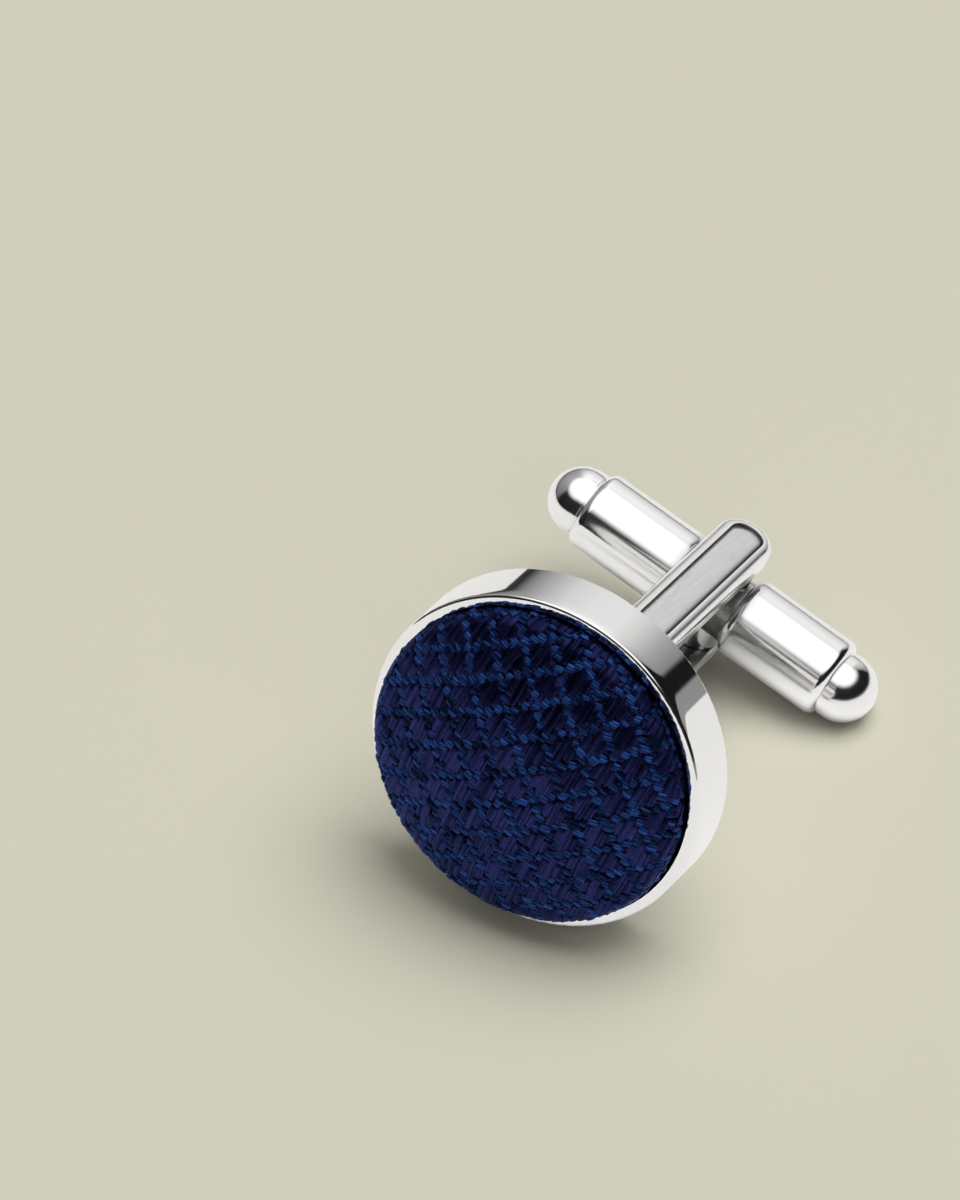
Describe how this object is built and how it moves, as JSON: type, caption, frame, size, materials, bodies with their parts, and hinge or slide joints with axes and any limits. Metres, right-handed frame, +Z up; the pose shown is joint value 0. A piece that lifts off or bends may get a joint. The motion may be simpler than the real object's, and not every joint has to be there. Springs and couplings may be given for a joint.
{
  "type": "cufflink",
  "caption": "Round cufflink with a domed, woven-silk face in a polished metal cup, a two-pronged post and a swivelling bar back.",
  "frame": {"origin": "on the surface the cufflink lies on, below the middle of its box", "axes": "+Z up from the surface; the silk face looks towards -Y and is tilted up by about 16 degrees; the post runs towards +Y; the swivel bar runs nearly along X and its +X end touches the surface"},
  "size_m": [0.0182, 0.024, 0.0173],
  "materials": {
    "polished_metal": "mirror polish",
    "silk": "woven silk with a soft sheen"
  },
  "bodies": {
    "cufflink": {"cup_and_fork": "polished_metal", "silk_pad": "silk", "pivot_pin": "polished_metal"},
    "toggle": {"toggle": "polished_metal"}
  },
  "joints": [
    {"name": "toggle_swivel", "type": "hinge", "parent": "cufflink", "child": "toggle", "pos_m": [0, 0.00937, 0.00397], "axis": [0.3012, 0.2593, 0.9176], "range_deg": [-90, 90]}
  ]
}
